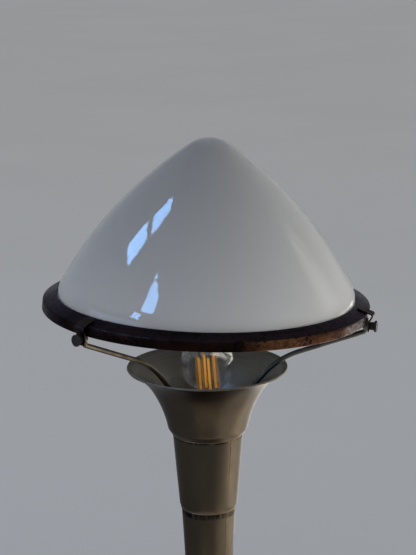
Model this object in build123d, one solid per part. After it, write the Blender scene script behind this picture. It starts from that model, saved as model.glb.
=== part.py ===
from build123d import *
import os
from math import acos, cos, pi, radians, sin

# Table lamp. A pointed opal glass shade stands in a metal ring. Three bent arms carry the ring
# from inside a horn-shaped sheet-metal stem, and a round weighted base carries the stem.
# Millimetres, +Z up. The origin is the centre of the face that the lamp stands on.
# An azimuth is counted from the front (-Y) towards +X.

# Clearances that several pieces share
FIT = 0.1  # pieces that are pressed, soldered or bolted together
THREAD_FIT = 0.05  # radial, between a thread and its tapped hole
RUNNING_FIT = 0.3  # pieces that turn or slide past each other
OVERRUN = 2.0  # how far a cutter runs past the face that it leaves

# Felt pad and base plate
FELT_THICKNESS = 2.0
FELT_MARGIN = 1.0  # the felt stops short of the plate's edge
PLATE_THICKNESS = 1.5
PLATE_MARGIN = 2.0  # the plate reaches past the weight's edge
PLATE_SCREWS = 3
PLATE_SCREW_CIRCLE_R = 60.0
PLATE_SCREW_R = 2.0
PLATE_SCREW_HEAD_R = 3.5
PLATE_SCREW_LENGTH = 9.0
PLATE_SCREW_TURN = 30.0  # azimuth of the first screw

# Base shell, spun from sheet: a skirt, a flat step, and a flare up to the collar
SHELL_SHEET = 1.2
BASE_R = 90.0
SKIRT_LIFT = 1.0  # the skirt's lower edge above the table
SKIRT_HEIGHT = 18.0
SKIRT_CORNER_R = 4.0
STEP_WIDTH = 17.0  # flat step from the skirt to the flare
FLARE_HEIGHT = 20.2
FLARE_TOP_MARGIN = 2.0  # flat top around the collar

# Base weight, cast
WEIGHT_GAP = 4.8  # between the weight and the skirt's inner wall
WEIGHT_RECESS_R = 15.0
WEIGHT_RECESS_DEPTH = 9.0

# Bush for the cord, in the back of the skirt
BUSH_AZIMUTH = 180.0
BUSH_BORE_R = 3.3
BUSH_R = 4.5
BUSH_FLANGE_R = 6.0
BUSH_FLANGE_THICKNESS = 1.6
BUSH_TAIL = 3.0  # how far it reaches past the skirt's inner wall

# Threaded tube that holds the lamp together
ROD_R = 5.0
ROD_BORE_R = 3.5
ROD_END_LIFT = 1.5  # its lower end above the base plate
NUT_FLATS = 14.0
NUT_THICKNESS = 4.0
WASHER_R = 9.5
WASHER_THICKNESS = 1.5

# Foot collar
COLLAR_BULGE = 1.8  # how far the collar swells past its edges
COLLAR_SEAT_HEIGHT = 5.0  # the stem stands this far above the collar's underside
COLLAR_RIM = 4.0  # how far the collar rises around the stem
COLLAR_RIM_WALL = 1.6

# Stem: three tapered sections under the bell, each a sheet cone
SHEET = 0.8
SECTION_LENGTH = 64.0  # from joint to joint
SPIGOT = 6.0  # how far a section reaches up into the one above
LOWER_FOOT_R = 15.4
MIDDLE_FOOT_R = 19.4
UPPER_FOOT_R = 24.0
UPPER_TOP_R = 29.0
SECTION_STEP = 0.75  # between a section's top, under the joint, and the wall of the one above
BELL_STEP = 3.0  # between the upper section's spigot and the bell's wall
LIP_HEIGHT = 3.4  # from a joint up to the bend above its lip
BELL_LIP_HEIGHT = 4.9
LIP_EDGE = 0.3  # width left at a lip's lower edge

# Horn bell: two arcs, tangent to each other
BELL_NECK_ARC_R = 99.5
BELL_RIM_ARC_R = 48.6
BELL_FOOT_LEAN = 11.0  # degrees from the vertical
BELL_MIDDLE_LEAN = 31.6
BELL_RIM_LEAN = 63.9

# Shade ring: a channel with a sloping top, open towards the axis
RING_ABOVE_BELL = 57.4  # ring's upper outer edge above the bell's rim
SHADE_LEAN = 2.0  # degrees; the ring and the glass lean towards +X
SHADE_FIT = 0.4  # between the glass rim and the ring's bore
RING_SHEET = 1.2
RING_WIDTH = 12.2  # from the glass to the outside of the ring
RING_DRAFT = 0.6  # the wall leans in this much towards the top
RING_DEPTH = 7.8
RING_RISE = 4.2
SEAT_THICKNESS = 1.0
SEAT_WIDTH = 4.7
LEDGE_LIP = 1.0  # how far the ring's ledge reaches in past the seat

# Glass shade: a straight rim, then three arcs, tangent to one another
GLASS_THICKNESS = 3.5
GLASS_RIM_R = 120.2
GLASS_RIM_HEIGHT = 5.6
GLASS_SHOULDER_ARC_R = 32.4
GLASS_SHOULDER_LEAN = 29.2  # degrees from the vertical, where the shoulder ends
GLASS_SIDE_ARC_R = 330.0
GLASS_TIP_ARC_R = 28.5
GLASS_EDGE_R = 1.2

# Arms, with the clips and thumbscrews at their outer ends
ARM_AZIMUTHS = (-45.0, 75.0, 195.0)
ARM_R = 2.0
ARM_EYE_R = 4.0
ARM_EYE_THICKNESS = 2.6
ARM_EYE_PROUD = 0.2  # the eye's outer face stands this far outside the ring
ARM_HEEL_DROP = 15.4  # the outer corner of the route, under the ring's upper edge
ARM_KNEE_R = 61.0
ARM_KNEE_DROP = 44.0
ARM_ELBOW_DROP = 92.8
ARM_SOCKET_MARGIN = 5.4  # from the socket's axis to the hub's edge
ARM_HEEL_BEND_R = 3.5
ARM_KNEE_BEND_R = 70.0
ARM_ELBOW_BEND_R = 30.0

SCREW_R = 2.0
SCREW_DROP = 10.8  # the screw's axis under the ring's upper edge
SCREW_REACH = 6.4  # shank length from the knob's shoulder
KNOB_BARREL_R = 3.3
KNOB_BARREL_LENGTH = 3.4
KNOB_FLANGE_R = 4.6
KNOB_FLANGE_LENGTH = 2.0
KNOB_FLUTES = 24
KNOB_FLUTE_R = 0.35

CLIP_THICKNESS = 1.2
CLIP_WIDTH = 10.0
CLIP_REACH = 8.6  # how far its tongue reaches in over the ring's top
CLIP_BULGE = 2.6  # how far it swells past its tab
CLIP_SHOULDER_DROP = 2.6
CLIP_HEM_DROP = 6.4
CLIP_END_DROP = 15.2
CLIP_BEND_R = 1.6
CLIP_CORNER_R = 2.0

# Arm hub
HUB_THICKNESS = 7.0
HUB_SOCKET_DEPTH = 5.0
GRUB_R = 1.5
GRUB_LENGTH = 3.2

# Bulb
BULB_ABOVE_RIM = 1.9  # centre of the bulb's globe above the bell's rim
BULB_R = 22.5
BULB_LENGTH = 78.0
BULB_WALL = 0.7
BULB_NECK_R = 7.6
BULB_NECK_DROP = 31.0  # where the neck is straight, under the globe's centre
BULB_NECK_TAIL = 4.0  # how far the neck reaches into its cap
CAP_WALL = 0.4
CAP_SKIRT_HEIGHT = 7.0
CAP_THREAD_R = 6.9
CAP_THREAD_DEPTH = 0.5
CAP_THREAD_PITCH = 2.82
CAP_THREAD_TURNS = 4
CAP_INSULATOR_TIP_R = 3.4
TIP_R = 2.4
TIP_HEIGHT = 1.4
FILAMENTS = 4
FILAMENT_R = 1.0
FILAMENT_LENGTH = 28.0
FILAMENT_CIRCLE_R = 6.3
FILAMENT_DROP = 7.4  # middle of the filaments under the globe's centre
FILAMENT_TURN = 15.0  # azimuth of the first filament
FILAMENT_LEAN = -4.0  # degrees about Y
STEM_TUBE_R = 2.4
STEM_FLARE_THICKNESS = 1.0
LEAD_R = 0.3
STAR_RISE = 2.5  # top of the glass stem above the filaments' ends

# Lampholder
HOLDER_R = 14.0
HOLDER_HEIGHT = 42.0
HOLDER_WALL = 1.5
HOLDER_CAP_HEIGHT = 14.0
HOLDER_CAP_FLOOR = 3.0
HOLDER_BOSS_R = 8.0
HOLDER_BOSS_HEIGHT = 8.0
HOLDER_SPIGOT = 3.0
HOLDER_LIP = 2.4  # the shell's rim, inwards
HOLDER_TIP_HEIGHT = 23.0  # the bulb's tip above the holder's underside
INSULATOR_THICKNESS = 6.0
CONTACT_WALL = 0.4
CONTACT_STRIP_WIDTH = 5.0
CONTACT_STRIP_THICKNESS = 0.5
CONTACT_STRIP_HALF_LENGTH = 5.0
TERMINAL_CIRCLE_R = 7.9
TERMINAL_R = 1.2
TERMINAL_HEAD_R = 2.1
TERMINAL_HEAD_HEIGHT = 1.6
TERMINAL_LENGTH = 4.0

# Heights that follow from the sizes above
PLATE_Z = FELT_THICKNESS
WEIGHT_Z = PLATE_Z + PLATE_THICKNESS
SKIRT_TOP_Z = SKIRT_LIFT + SKIRT_HEIGHT
WEIGHT_TOP_Z = SKIRT_TOP_Z - SHELL_SHEET
SHELL_TOP_Z = SKIRT_TOP_Z + FLARE_HEIGHT
RECESS_TOP_Z = WEIGHT_Z + WEIGHT_RECESS_DEPTH
ROD_Z = WEIGHT_Z + ROD_END_LIFT
FOOT_Z = SHELL_TOP_Z + COLLAR_SEAT_HEIGHT
LOWER_JOINT_Z = FOOT_Z + SECTION_LENGTH
MIDDLE_JOINT_Z = LOWER_JOINT_Z + SECTION_LENGTH
BELL_Z = MIDDLE_JOINT_Z + SECTION_LENGTH
BELL_HEIGHT = BELL_NECK_ARC_R * (sin(radians(BELL_MIDDLE_LEAN)) - sin(radians(BELL_FOOT_LEAN)))
BELL_HEIGHT += BELL_RIM_ARC_R * (sin(radians(BELL_RIM_LEAN)) - sin(radians(BELL_MIDDLE_LEAN)))
RIM_Z = BELL_Z + BELL_LIP_HEIGHT + BELL_HEIGHT
RING_Z = RIM_Z + RING_ABOVE_BELL
BULB_Z = RIM_Z + BULB_ABOVE_RIM
TIP_Z = BULB_Z + BULB_R - BULB_LENGTH
HOLDER_Z = TIP_Z - HOLDER_TIP_HEIGHT
HOLDER_RIM_Z = HOLDER_Z + HOLDER_HEIGHT
INSULATOR_Z = HOLDER_Z + HOLDER_CAP_HEIGHT
INSULATOR_TOP_Z = INSULATOR_Z + INSULATOR_THICKNESS
HUB_Z = HOLDER_Z - HUB_THICKNESS
ROD_TOP_Z = HOLDER_Z + HOLDER_BOSS_HEIGHT
CAP_TOP_Z = BULB_Z - BULB_NECK_DROP
CAP_SKIRT_Z = CAP_TOP_Z - CAP_SKIRT_HEIGHT
THREAD_Z = CAP_SKIRT_Z - CAP_THREAD_PITCH * CAP_THREAD_TURNS
BUSH_HEIGHT = SKIRT_LIFT + (SKIRT_HEIGHT - SKIRT_CORNER_R) / 2

# Radii that follow
SKIRT_INNER_R = BASE_R - SHELL_SHEET
WEIGHT_R = SKIRT_INNER_R - WEIGHT_GAP
PLATE_R = WEIGHT_R + PLATE_MARGIN
FELT_R = PLATE_R - FELT_MARGIN
FLARE_R = BASE_R - STEP_WIDTH
LOWER_TOP_R = MIDDLE_FOOT_R - SHEET - SECTION_STEP
MIDDLE_TOP_R = UPPER_FOOT_R - SHEET - SECTION_STEP
BELL_FOOT_R = UPPER_TOP_R + BELL_STEP + SHEET
RING_R = GLASS_RIM_R + RING_WIDTH
RING_TOP_R = RING_R - RING_DRAFT
RING_BORE_R = GLASS_RIM_R + SHADE_FIT
SEAT_INNER_R = GLASS_RIM_R - SEAT_WIDTH
RING_LEDGE_R = SEAT_INNER_R - LEDGE_LIP
EYE_OUTER_R = RING_R + ARM_EYE_PROUD
EYE_INNER_R = EYE_OUTER_R - ARM_EYE_THICKNESS
ARM_END_R = EYE_OUTER_R - ARM_R
CLIP_REACH_R = RING_R - CLIP_REACH
CLIP_TAB_R = EYE_OUTER_R + FIT + CLIP_THICKNESS / 2
CLIP_BULGE_R = CLIP_TAB_R + CLIP_BULGE
KNOB_SHOULDER_R = CLIP_TAB_R + CLIP_THICKNESS / 2 + FIT


def face_of(*edges):
    """Face in the XZ plane from edges drawn as (radius, height)."""
    return make_face(Plane.XZ * Curve(list(edges)))


def turned(points):
    """Solid of revolution about Z from a closed outline of (radius, height) points."""
    return revolve(make_face(Plane.XZ * Polyline(points, close=True)), Axis.Z)


def cylinder(radius, low, high):
    return Pos(0, 0, low) * Cylinder(radius, high - low, align=(Align.CENTER, Align.CENTER, Align.MIN))


def tube(outer_r, inner_r, low, high):
    return cylinder(outer_r, low, high) - cylinder(inner_r, low - OVERRUN, high + OVERRUN)


def radial_cylinder(radius, start, end, height):
    """Cylinder along +X from radius start to radius end, its axis at that height."""
    rod = Cylinder(radius, end - start, align=(Align.CENTER, Align.CENTER, Align.MIN))
    return Pos(start, 0, height) * Rot(0, 90, 0) * rod


def at_azimuth(shape, azimuth):
    """Turns a shape that is drawn along +X to its azimuth."""
    return Rot(0, 0, azimuth - 90) * shape


def leaning(shape):
    """Puts a shape drawn about the ring's centre into its leaning place."""
    return Pos(0, 0, RING_Z) * Rot(0, SHADE_LEAN, 0) * shape


def stem_point(azimuth, radius, height):
    return Vector(radius * sin(radians(azimuth)), -radius * cos(radians(azimuth)), height)


def ring_point(azimuth, radius, drop):
    """Point that leans with the ring, at a drop under the ring's upper outer edge."""
    point = stem_point(azimuth, radius, -drop).rotate(Axis.Y, SHADE_LEAN)
    return point + Vector(0, 0, RING_Z)


def strut(start, end, radius):
    """Straight round bar between two points."""
    along = end - start
    bar = Cylinder(radius, along.length, align=(Align.CENTER, Align.CENTER, Align.MIN))
    return Plane(origin=start, z_dir=along) * bar


def section_r(height, foot_z, foot_r, top_z, top_r):
    """Outer radius of a tapered section at a height."""
    return foot_r + (top_r - foot_r) * (height - foot_z) / (top_z - foot_z)


def upper_inner_r(height):
    """Inner radius of the upper section at a height."""
    return section_r(height, MIDDLE_JOINT_Z + LIP_HEIGHT, UPPER_FOOT_R, BELL_Z, UPPER_TOP_R) - SHEET


def arm_foot_r():
    return upper_inner_r(HUB_Z) - ARM_SOCKET_MARGIN


def collar_seat_r():
    """Inner radius of the collar's rim, around the stem."""
    rim_z = FOOT_Z + COLLAR_RIM
    return section_r(rim_z, FOOT_Z, LOWER_FOOT_R, LOWER_JOINT_Z, LOWER_TOP_R) + FIT


def collar_r():
    return collar_seat_r() + COLLAR_RIM_WALL + COLLAR_BULGE


def slope_z(radius):
    """Height of the ring's sloping top, over its upper outer edge."""
    return RING_RISE * (RING_TOP_R - radius) / (RING_TOP_R - RING_BORE_R)


# Base

def felt_pad():
    return cylinder(FELT_R, 0, PLATE_Z)


def plate_screw_places():
    for index in range(PLATE_SCREWS):
        yield stem_point(PLATE_SCREW_TURN + 360 * index / PLATE_SCREWS, PLATE_SCREW_CIRCLE_R, PLATE_Z)


def countersink(clearance):
    """Countersunk head, widened by a clearance."""
    head = PLATE_SCREW_HEAD_R + clearance
    return turned([(0, 0), (head, 0), (PLATE_SCREW_R + clearance, PLATE_THICKNESS), (0, PLATE_THICKNESS)])


def base_plate():
    plate = cylinder(PLATE_R, PLATE_Z, WEIGHT_Z)
    for place in plate_screw_places():
        plate -= Pos(place) * countersink(FIT)
    return plate


def base_plate_screws():
    screws = []
    for place in plate_screw_places():
        screws.append(Pos(place) * (countersink(0) + cylinder(PLATE_SCREW_R, 0, PLATE_SCREW_LENGTH)))
    return screws


def base_weight():
    weight = cylinder(WEIGHT_R, WEIGHT_Z, WEIGHT_TOP_Z)
    weight -= cylinder(ROD_R + FIT, WEIGHT_Z, WEIGHT_TOP_Z + OVERRUN)
    weight -= cylinder(WEIGHT_RECESS_R, WEIGHT_Z - OVERRUN, RECESS_TOP_Z)
    channel = Pos(0, 0, WEIGHT_Z - OVERRUN) * Box(
        WEIGHT_R + OVERRUN,
        2 * BUSH_R,
        WEIGHT_RECESS_DEPTH + OVERRUN,
        align=(Align.MIN, Align.CENTER, Align.MIN),
    )
    weight -= at_azimuth(channel, BUSH_AZIMUTH)
    for place in plate_screw_places():
        weight -= Pos(place) * cylinder(PLATE_SCREW_R + THREAD_FIT, 0, PLATE_SCREW_LENGTH + FIT)
    return weight


def base_shell():
    flare_top_r = collar_r() + FLARE_TOP_MARGIN
    inner_top = (flare_top_r - SHELL_SHEET, SHELL_TOP_Z - SHELL_SHEET)
    corner = (BASE_R - SKIRT_CORNER_R, SKIRT_TOP_Z - SKIRT_CORNER_R)
    inner_corner_r = SKIRT_CORNER_R - SHELL_SHEET
    diagonal = sin(radians(45))
    edges = [
        Line((BASE_R, SKIRT_LIFT), (BASE_R, corner[1])),
        ThreePointArc(
            (BASE_R, corner[1]),
            (corner[0] + SKIRT_CORNER_R * diagonal, corner[1] + SKIRT_CORNER_R * diagonal),
            (corner[0], SKIRT_TOP_Z),
        ),
        Line((corner[0], SKIRT_TOP_Z), (FLARE_R, SKIRT_TOP_Z)),
        TangentArc([(FLARE_R, SKIRT_TOP_Z), (flare_top_r, SHELL_TOP_Z)], tangent=(-1, 0)),
        Line((flare_top_r, SHELL_TOP_Z), (ROD_R + FIT, SHELL_TOP_Z)),
        Line((ROD_R + FIT, SHELL_TOP_Z), (ROD_R + FIT, inner_top[1])),
        Line((ROD_R + FIT, inner_top[1]), inner_top),
        TangentArc([(FLARE_R, WEIGHT_TOP_Z), inner_top], tangent=(-1, 0)),
        Line((FLARE_R, WEIGHT_TOP_Z), (corner[0], WEIGHT_TOP_Z)),
        ThreePointArc(
            (corner[0], WEIGHT_TOP_Z),
            (corner[0] + inner_corner_r * diagonal, corner[1] + inner_corner_r * diagonal),
            (SKIRT_INNER_R, corner[1]),
        ),
        Line((SKIRT_INNER_R, corner[1]), (SKIRT_INNER_R, SKIRT_LIFT)),
        Line((SKIRT_INNER_R, SKIRT_LIFT), (BASE_R, SKIRT_LIFT)),
    ]
    shell = revolve(face_of(*edges), Axis.Z)
    hole = radial_cylinder(BUSH_R + FIT, SKIRT_INNER_R - OVERRUN, BASE_R + OVERRUN, BUSH_HEIGHT)
    return shell - at_azimuth(hole, BUSH_AZIMUTH)


def cord_bush():
    flange_end = BASE_R + FIT + BUSH_FLANGE_THICKNESS
    tail_end = SKIRT_INNER_R - BUSH_TAIL
    bush = radial_cylinder(BUSH_R, tail_end, BASE_R + FIT, BUSH_HEIGHT)
    bush += radial_cylinder(BUSH_FLANGE_R, BASE_R + FIT, flange_end, BUSH_HEIGHT)
    rounded = bush.edges().filter_by(GeomType.CIRCLE).group_by(Axis.X)[-1]
    bush = fillet(rounded, BUSH_FLANGE_THICKNESS / 2)
    bush -= radial_cylinder(BUSH_BORE_R, tail_end - OVERRUN, flange_end + OVERRUN, BUSH_HEIGHT)
    return at_azimuth(bush, BUSH_AZIMUTH)


def hex_nut(low):
    nut = Pos(0, 0, low) * extrude(RegularPolygon(NUT_FLATS / 2, 6, major_radius=False), NUT_THICKNESS)
    return nut - cylinder(ROD_R + THREAD_FIT, low - OVERRUN, low + NUT_THICKNESS + OVERRUN)


def rod_washer():
    return tube(WASHER_R, ROD_R + FIT, RECESS_TOP_Z - WASHER_THICKNESS, RECESS_TOP_Z)


def rod_nut():
    return hex_nut(RECESS_TOP_Z - WASHER_THICKNESS - NUT_THICKNESS)


def foot_collar():
    rim_z = FOOT_Z + COLLAR_RIM
    seat_r = collar_seat_r()
    rim_r = seat_r + COLLAR_RIM_WALL
    bulge_z = (SHELL_TOP_Z + rim_z) / 2
    edges = [
        Line((ROD_R + FIT, SHELL_TOP_Z), (rim_r, SHELL_TOP_Z)),
        ThreePointArc((rim_r, SHELL_TOP_Z), (collar_r(), bulge_z), (rim_r, rim_z)),
        Line((rim_r, rim_z), (seat_r, rim_z)),
        Line((seat_r, rim_z), (seat_r, FOOT_Z)),
        Line((seat_r, FOOT_Z), (ROD_R + FIT, FOOT_Z)),
        Line((ROD_R + FIT, FOOT_Z), (ROD_R + FIT, SHELL_TOP_Z)),
    ]
    return revolve(face_of(*edges), Axis.Z)


def stem_rod():
    return tube(ROD_R, ROD_BORE_R, ROD_Z, ROD_TOP_Z)


# Stem

def swelling_top(top_r, joint_z, foot_above_r):
    """Outline, up the outside and down the inside, of a section's end in the one above.
    It follows the lip of that section, then its wall."""
    end_r = foot_above_r - SHEET - FIT
    bend_z = joint_z + LIP_HEIGHT
    return [
        (top_r, joint_z),
        (end_r, bend_z),
        (end_r, joint_z + SPIGOT),
        (end_r - SHEET, joint_z + SPIGOT),
        (end_r - SHEET, bend_z),
        (top_r - SHEET, joint_z),
    ]


def lipped_foot(below_r, joint_z, foot_r):
    """Outline, from the inner bend to the outer one, of a lip that closes on the section below."""
    return [
        (foot_r - SHEET, joint_z + LIP_HEIGHT),
        (below_r + FIT, joint_z),
        (below_r + FIT + LIP_EDGE, joint_z),
        (foot_r, joint_z + LIP_HEIGHT),
    ]


def lower_stem():
    foot = [(LOWER_FOOT_R - SHEET, FOOT_Z), (LOWER_FOOT_R, FOOT_Z)]
    return turned(foot + swelling_top(LOWER_TOP_R, LOWER_JOINT_Z, MIDDLE_FOOT_R))


def middle_stem():
    foot = lipped_foot(LOWER_TOP_R, LOWER_JOINT_Z, MIDDLE_FOOT_R)
    return turned(foot + swelling_top(MIDDLE_TOP_R, MIDDLE_JOINT_Z, UPPER_FOOT_R))


def upper_stem():
    spigot_z = BELL_Z + SPIGOT
    return turned(lipped_foot(MIDDLE_TOP_R, MIDDLE_JOINT_Z, UPPER_FOOT_R) + [
        (UPPER_TOP_R, BELL_Z),
        (UPPER_TOP_R, spigot_z),
        (UPPER_TOP_R - SHEET, spigot_z),
        (UPPER_TOP_R - SHEET, BELL_Z),
    ])


def flare_arc(centre, arc_r, start_lean, end_lean):
    """Arc that leans outwards as it rises; leans are degrees from the vertical."""
    points = []
    for lean in (start_lean, (start_lean + end_lean) / 2, end_lean):
        angle = radians(lean)
        points.append((centre[0] - arc_r * cos(angle), centre[1] + arc_r * sin(angle)))
    return ThreePointArc(*points)


def horn_bell():
    foot = radians(BELL_FOOT_LEAN)
    middle = radians(BELL_MIDDLE_LEAN)
    bend_z = BELL_Z + BELL_LIP_HEIGHT
    neck_centre = (BELL_FOOT_R + BELL_NECK_ARC_R * cos(foot), bend_z - BELL_NECK_ARC_R * sin(foot))
    step = BELL_NECK_ARC_R - BELL_RIM_ARC_R
    rim_centre = (neck_centre[0] - step * cos(middle), neck_centre[1] + step * sin(middle))
    neck = flare_arc(neck_centre, BELL_NECK_ARC_R, BELL_FOOT_LEAN, BELL_MIDDLE_LEAN)
    rim = flare_arc(rim_centre, BELL_RIM_ARC_R, BELL_MIDDLE_LEAN, BELL_RIM_LEAN)
    inner_neck = flare_arc(neck_centre, BELL_NECK_ARC_R + SHEET, BELL_FOOT_LEAN, BELL_MIDDLE_LEAN)
    inner_rim = flare_arc(rim_centre, BELL_RIM_ARC_R + SHEET, BELL_MIDDLE_LEAN, BELL_RIM_LEAN)
    lip_r = UPPER_TOP_R + FIT
    edges = [
        neck,
        rim,
        Line(rim @ 1, inner_rim @ 1),
        inner_rim,
        inner_neck,
        Line(inner_neck @ 0, (lip_r, BELL_Z)),
        Line((lip_r, BELL_Z), (lip_r + LIP_EDGE, BELL_Z)),
        Line((lip_r + LIP_EDGE, BELL_Z), neck @ 0),
    ]
    return revolve(face_of(*edges), Axis.Z)


# Arm hub

def arm_hub():
    hub = turned([
        (ROD_R + THREAD_FIT, HUB_Z),
        (upper_inner_r(HUB_Z) - FIT, HUB_Z),
        (upper_inner_r(HOLDER_Z) - FIT, HOLDER_Z),
        (ROD_R + THREAD_FIT, HOLDER_Z),
    ])
    socket_z = HOLDER_Z - HUB_SOCKET_DEPTH
    for azimuth in ARM_AZIMUTHS:
        socket = Pos(arm_foot_r(), 0, 0) * cylinder(ARM_R + THREAD_FIT, socket_z, HOLDER_Z + OVERRUN)
        grub_hole = radial_cylinder(GRUB_R + THREAD_FIT, arm_foot_r(), UPPER_TOP_R, grub_z())
        hub -= at_azimuth(socket + grub_hole, azimuth)
    return hub


def grub_z():
    return HOLDER_Z - HUB_SOCKET_DEPTH / 2


def hub_grub_screws():
    start = arm_foot_r() + ARM_R + THREAD_FIT
    screw = radial_cylinder(GRUB_R, start, start + GRUB_LENGTH, grub_z())
    return [at_azimuth(screw, azimuth) for azimuth in ARM_AZIMUTHS]


def hub_nut():
    return hex_nut(HUB_Z - NUT_THICKNESS)


# Lampholder

def lampholder_cap():
    spigot_r = HOLDER_R - HOLDER_WALL - FIT
    cavity_z = HOLDER_Z + HOLDER_CAP_FLOOR
    cap = cylinder(HOLDER_R, HOLDER_Z, INSULATOR_Z)
    cap += cylinder(spigot_r, HOLDER_Z, INSULATOR_Z + HOLDER_SPIGOT)
    bottom = cap.edges().filter_by(GeomType.CIRCLE).group_by(Axis.Z)[0]
    cap = fillet(bottom, HOLDER_WALL)
    cap -= cylinder(spigot_r - HOLDER_WALL, cavity_z, INSULATOR_Z + HOLDER_SPIGOT + OVERRUN)
    cap += cylinder(HOLDER_BOSS_R, HOLDER_Z, ROD_TOP_Z)
    return cap - cylinder(ROD_R + THREAD_FIT, HOLDER_Z - OVERRUN, ROD_TOP_Z + OVERRUN)


def lampholder_shell():
    wall_r = HOLDER_R - HOLDER_WALL
    lip_z = HOLDER_RIM_Z - HOLDER_WALL
    shell = tube(HOLDER_R, wall_r - HOLDER_LIP, INSULATOR_Z, HOLDER_RIM_Z)
    shell -= cylinder(wall_r, INSULATOR_Z - OVERRUN, lip_z)
    top = shell.edges().filter_by(GeomType.CIRCLE).group_by(Axis.Z)[-1].sort_by(SortBy.RADIUS)[-1]
    return fillet(top, HOLDER_WALL / 2)


def terminal_places():
    for azimuth in (90, 270):
        yield stem_point(azimuth, TERMINAL_CIRCLE_R, INSULATOR_Z)


def lampholder_insulator():
    body_r = HOLDER_R - 2 * HOLDER_WALL - 2 * FIT
    flange_r = HOLDER_R - HOLDER_WALL - FIT
    flange_z = INSULATOR_Z + HOLDER_SPIGOT
    insulator = cylinder(body_r, INSULATOR_Z, INSULATOR_TOP_Z)
    insulator += cylinder(flange_r, flange_z, INSULATOR_TOP_Z)
    for place in terminal_places():
        insulator -= Pos(place) * cylinder(TERMINAL_R + THREAD_FIT, -OVERRUN, TERMINAL_LENGTH)
    return insulator


def terminal_screws():
    screws = []
    for place in terminal_places():
        head = cylinder(TERMINAL_HEAD_R, -TERMINAL_HEAD_HEIGHT, 0)
        slot = Box(TERMINAL_HEAD_R * 2, TERMINAL_R / 2, TERMINAL_HEAD_HEIGHT)
        head -= Pos(0, 0, -TERMINAL_HEAD_HEIGHT) * slot
        screws.append(Pos(place) * (head + cylinder(TERMINAL_R, 0, TERMINAL_LENGTH - FIT)))
    return screws


def thread_edges(radius, top_z):
    """Rounded thread, seen as rings: arcs that swing out and in, from the top down."""
    half = CAP_THREAD_PITCH / 2
    edges = []
    for index in range(2 * CAP_THREAD_TURNS):
        start = top_z - index * half
        side = 1 if index % 2 == 0 else -1
        middle = (radius + side * CAP_THREAD_DEPTH / 2, start - half / 2)
        edges.append(ThreePointArc((radius, start), middle, (radius, start - half)))
    return edges


def screw_contact():
    inner_r = CAP_THREAD_R - CAP_THREAD_DEPTH / 2 + RUNNING_FIT
    outer_r = inner_r + CONTACT_WALL
    top_z = CAP_SKIRT_Z
    low_z = INSULATOR_TOP_Z
    wave_z = top_z - CAP_THREAD_PITCH * CAP_THREAD_TURNS
    foot_r = outer_r + CONTACT_STRIP_WIDTH / 2
    edges = thread_edges(outer_r, top_z) + thread_edges(inner_r, top_z)
    edges.append(Line((inner_r, top_z), (outer_r, top_z)))
    edges.append(Line((outer_r, wave_z), (outer_r, low_z + CONTACT_WALL)))
    edges.append(Line((outer_r, low_z + CONTACT_WALL), (foot_r, low_z + CONTACT_WALL)))
    edges.append(Line((foot_r, low_z + CONTACT_WALL), (foot_r, low_z)))
    edges.append(Line((foot_r, low_z), (inner_r, low_z)))
    edges.append(Line((inner_r, low_z), (inner_r, wave_z)))
    return revolve(face_of(*edges), Axis.Z)


def centre_contact():
    rise = TIP_Z - INSULATOR_TOP_Z - CONTACT_STRIP_THICKNESS
    middle = CONTACT_STRIP_THICKNESS / 2
    quarter = CONTACT_STRIP_HALF_LENGTH / 2
    route = Polyline(
        (-CONTACT_STRIP_HALF_LENGTH, middle),
        (-quarter, middle),
        (-quarter / 2, rise + middle - FIT),
        (quarter / 2, rise + middle - FIT),
        (quarter, middle),
        (CONTACT_STRIP_HALF_LENGTH, middle),
    )
    strip = extrude(Plane.XZ * trace(route, CONTACT_STRIP_THICKNESS), CONTACT_STRIP_WIDTH / 2, both=True)
    return Pos(0, 0, INSULATOR_TOP_Z) * strip


# Bulb

def bulb_outline(inset):
    """Edges of the globe and neck, from the top down, and the two end points."""
    globe_r = BULB_R - inset
    neck_r = BULB_NECK_R - inset
    drop = BULB_NECK_DROP
    swing = (BULB_NECK_R ** 2 + drop ** 2 - BULB_R ** 2) / (2 * (BULB_R - BULB_NECK_R))
    neck_arc_r = swing + inset
    centre = (BULB_NECK_R + swing, BULB_Z - drop)
    reach = BULB_R + swing
    touch = (globe_r * centre[0] / reach, BULB_Z - globe_r * drop / reach)
    turn = acos(centre[0] / reach)
    waist = (centre[0] - neck_arc_r * cos(turn / 2), centre[1] + neck_arc_r * sin(turn / 2))
    tail = (neck_r, CAP_TOP_Z - BULB_NECK_TAIL)
    return [
        ThreePointArc((0, BULB_Z + globe_r), (globe_r, BULB_Z), touch),
        ThreePointArc(touch, waist, (neck_r, BULB_Z - drop)),
        Line((neck_r, BULB_Z - drop), tail),
    ]


def bulb_glass():
    outer = bulb_outline(0)
    inner = bulb_outline(BULB_WALL)
    crown = Line(inner[0] @ 0, outer[0] @ 0)
    end = Line(inner[-1] @ 1, outer[-1] @ 1)
    return revolve(face_of(*outer, *inner, crown, end), Axis.Z)


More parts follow.
